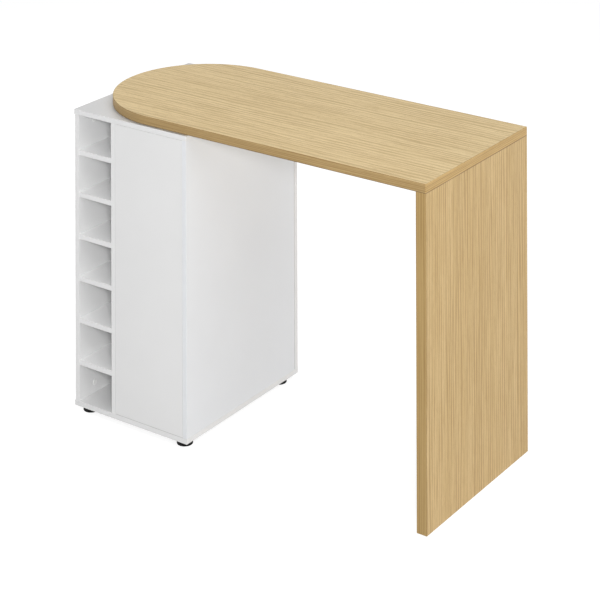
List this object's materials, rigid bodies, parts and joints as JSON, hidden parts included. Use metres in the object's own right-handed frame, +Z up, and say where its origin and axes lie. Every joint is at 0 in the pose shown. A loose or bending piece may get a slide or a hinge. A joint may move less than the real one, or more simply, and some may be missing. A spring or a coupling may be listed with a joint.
{
  "type": "bar table",
  "caption": "Bar table with an oak-effect top, half-round at one end, that swivels on a white cabinet with bottle niches and a push-latch door, and stands on a panel leg.",
  "frame": {"origin": "centre of the table's footprint, on the floor", "axes": "+X along the table from the cabinet to the leg, +Y to the back, +Z up"},
  "size_m": [1.3404, 0.6, 1.013],
  "materials": {
    "white_board": "white melamine, satin",
    "oak_board": "oak-effect melamine, matte",
    "beech": "fluted beech, raw",
    "zinc": "die-cast zinc",
    "steel": "zinc-plated",
    "black_plastic": "moulded, matte",
    "white_plastic": "moulded, satin"
  },
  "bodies": {
    "cabinet": {"cabinet_bottom": "white_board", "cabinet_top": "white_board", "left_side": "white_board", "divider": "white_board", "right_side": "white_board", "rear_panel": "white_board", "cupboard_shelf_1": "white_board", "cupboard_shelf_2": "white_board", "niche_shelf_1": "white_board", "niche_shelf_2": "white_board", "niche_shelf_3": "white_board", "niche_shelf_4": "white_board", "niche_shelf_5": "white_board", "niche_shelf_6": "white_board", "cabinet_dowels": "beech", "niche_shelf_dowels": "beech", "cabinet_cams": "zinc", "cabinet_cam_bolts": "steel", "foot_screws": "steel", "frame_leaves": "steel", "frame_leaf_screws": "steel", "latch_screws": "steel", "latch_spring": "steel", "shelf_pins": "steel", "foot_front_left": "black_plastic", "foot_front_right": "black_plastic", "foot_rear_left": "black_plastic", "foot_rear_right": "black_plastic", "cabinet_cover_caps": "white_plastic", "latch_housing": "white_plastic", "swivel_bush": "white_plastic", "swivel_pads": "white_plastic"},
    "door": {"door": "white_board", "door_leaves": "steel", "door_leaf_screws": "steel", "latch_strike": "steel", "strike_screws": "steel"},
    "plunger": {"latch_plunger": "white_plastic"},
    "table": {"table_top": "oak_board", "top_edge_band": "oak_board", "leg_panel": "oak_board", "leg_edge_bands": "oak_board", "leg_cams": "zinc", "leg_cam_bolts": "steel", "leg_cover_caps": "white_plastic", "leg_dowels": "beech", "glide_front": "white_plastic", "glide_middle": "white_plastic", "glide_rear": "white_plastic", "swivel_pivot": "steel", "swivel_screws": "steel", "swivel_washer": "steel", "swivel_nut": "steel"}
  },
  "joints": [
    {"name": "door_hinge", "type": "hinge", "parent": "cabinet", "child": "door", "pos_m": [-0.25925, -0.295, 0.499], "axis": [0, 0, 1], "range_deg": [0, 105]},
    {"name": "latch_push", "type": "slide", "parent": "cabinet", "child": "plunger", "axis": [0, -1, 0], "range_m": [-0.004, 0], "stiffness_N_per_m": 400},
    {"name": "table_swivel", "type": "hinge", "parent": "cabinet", "child": "table", "pos_m": [-0.36675, 0, 0.98], "axis": [0, 0, 1], "continuous": true}
  ]
}
